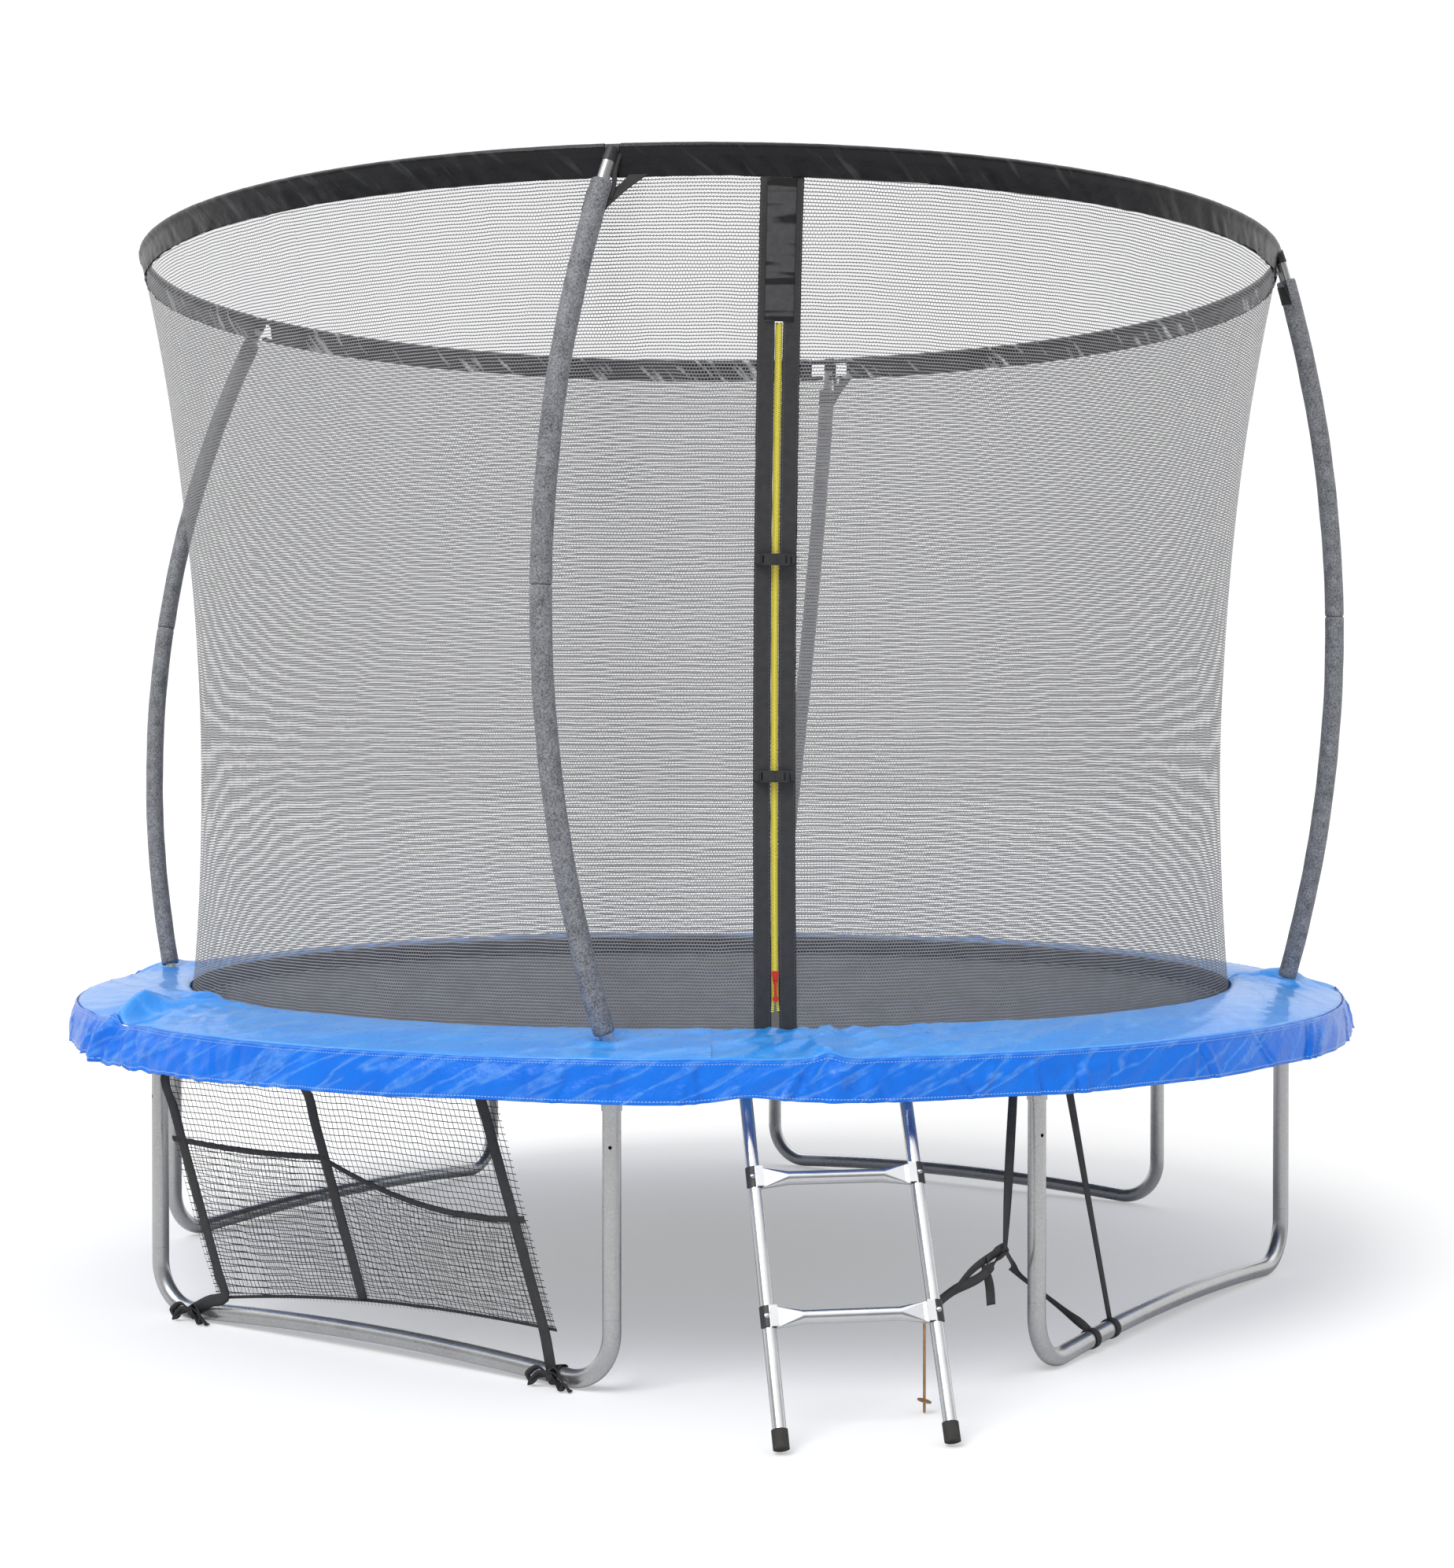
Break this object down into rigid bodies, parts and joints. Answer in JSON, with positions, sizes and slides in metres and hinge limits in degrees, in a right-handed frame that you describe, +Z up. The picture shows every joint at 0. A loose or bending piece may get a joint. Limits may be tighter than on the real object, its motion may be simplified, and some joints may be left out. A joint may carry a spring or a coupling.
{
  "type": "trampoline",
  "caption": "Round garden trampoline on U-shaped tube legs, with a bowed-pole safety net, zipped door, blue edge pad, ladder, shoe organiser and ground anchor.",
  "frame": {"origin": "on the ground, under the middle of the round frame", "axes": "+Z up, -Y towards the side with the door and the ladder, +X to the right seen from there"},
  "size_m": [3.3418, 3.6266, 2.6325],
  "materials": {
    "galvanised": "galvanised, satin",
    "foam": "matt closed-cell foam",
    "black_plastic": "moulded, semi-matt",
    "black_cloth": "woven webbing and coated cloth",
    "net": "open knitted mesh",
    "zip": "moulded teeth on a yellow tape",
    "red_paint": "red enamel",
    "mat_cloth": "tight woven mat",
    "pad_cover": "glossy coated cloth",
    "black_rubber": "matt",
    "bronze": "worn copper-coloured plating"
  },
  "bodies": {
    "frame": {"top_rails_long": "galvanised", "top_rails_short": "galvanised", "t_joints": "galvanised", "leg_base_1": "galvanised", "leg_base_2": "galvanised", "leg_base_3": "galvanised", "leg_base_4": "galvanised", "leg_uprights_1": "galvanised", "leg_uprights_2": "galvanised", "leg_uprights_3": "galvanised", "leg_uprights_4": "galvanised", "socket_screws": "galvanised", "pole_lower_1": "galvanised", "pole_lower_2": "galvanised", "pole_lower_3": "galvanised", "pole_lower_4": "galvanised", "pole_upper_1": "galvanised", "pole_upper_2": "galvanised", "pole_upper_3": "galvanised", "pole_upper_4": "galvanised", "foam_sleeves_1": "foam", "foam_sleeves_2": "foam", "foam_sleeves_3": "foam", "foam_sleeves_4": "foam", "pole_caps": "black_plastic", "ring_rods": "galvanised", "ring_sleeve": "black_cloth", "corner_straps": "black_cloth", "net_panel_1": "net", "net_panel_2": "net", "net_panel_3": "net", "net_panel_4": "net", "net_panel_5": "net", "net_panel_6": "net", "net_panel_7": "net", "net_panel_8": "net", "net_hem": "black_cloth", "door_placket": "black_cloth", "door_flap": "black_cloth", "zip_chain": "zip", "buckle_sockets": "black_plastic", "springs": "galvanised", "safety_pad": "pad_cover", "pad_skirt": "pad_cover", "organiser_net": "black_cloth", "organiser_pocket": "black_cloth", "organiser_straps": "black_cloth", "anchor_straps": "black_cloth", "anchor_peg": "bronze"},
    "mat": {"jumping_mat": "mat_cloth", "mat_rings": "galvanised"},
    "ladder": {"ladder_stiles": "galvanised", "ladder_rungs": "galvanised", "rung_saddles": "black_plastic", "ladder_feet": "black_rubber", "ladder_bolts": "galvanised"},
    "slider": {"zip_slider": "red_paint"},
    "pull": {"zip_pull": "red_paint"},
    "lower_buckle": {"lower_plug": "black_plastic"},
    "upper_buckle": {"upper_plug": "black_plastic"}
  },
  "joints": [
    {"name": "mat_bounce", "type": "slide", "parent": "frame", "child": "mat", "axis": [0, 0, 1], "range_m": [-0.15, 0], "stiffness_N_per_m": 5000, "springref_m": 0.03, "deforming": ["springs"]},
    {"name": "ladder_swing", "type": "hinge", "parent": "frame", "child": "ladder", "pos_m": [0.23393, -1.47699, 0.69], "axis": [-0.9877, -0.1564, 0], "range_deg": [0, 30]},
    {"name": "zip_slide", "type": "hinge", "parent": "frame", "child": "slider", "pos_m": [0.76944, -7.57502, 1.27], "axis": [0.9949, 0.1011, 0], "range_deg": [0, 11.5]},
    {"name": "zip_pull_flip", "type": "hinge", "parent": "slider", "child": "pull", "pos_m": [0.13812, -1.3598, 0.86362], "axis": [-0.9949, -0.1011, 0], "range_deg": [0, 150]},
    {"name": "lower_buckle_release", "type": "slide", "parent": "frame", "child": "lower_buckle", "axis": [0.9949, 0.1011, 0], "range_m": [0, 0.028]},
    {"name": "upper_buckle_release", "type": "slide", "parent": "frame", "child": "upper_buckle", "axis": [0.9949, 0.1011, 0], "range_m": [0, 0.028]}
  ]
}
